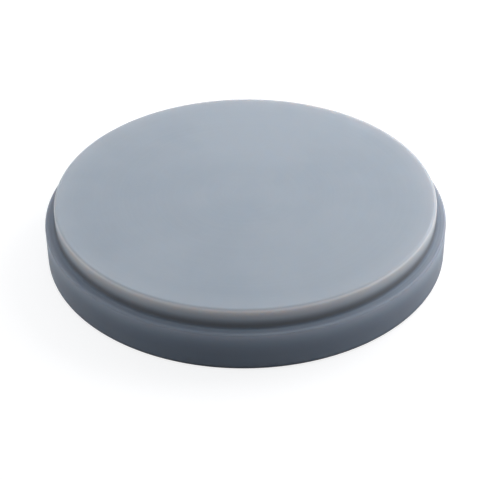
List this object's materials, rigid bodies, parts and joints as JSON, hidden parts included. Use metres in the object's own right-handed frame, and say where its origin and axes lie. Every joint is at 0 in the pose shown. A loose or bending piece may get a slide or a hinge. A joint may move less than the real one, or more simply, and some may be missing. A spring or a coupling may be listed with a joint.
{
  "type": "dental milling disc",
  "caption": "Round one-piece milling blank: a flat disc with a wide cylindrical collar and a slightly smaller raised working body above it.",
  "frame": {"origin": "centre of the underside, where the disc rests", "axes": "+Z along the disc's axis, from the underside up to the working face"},
  "size_m": [0.0984, 0.0984, 0.015],
  "materials": {
    "milling_wax": "matte blue-grey milling wax, slightly translucent"
  },
  "bodies": {
    "root": {"milling_disc": "milling_wax"}
  },
  "joints": []
}
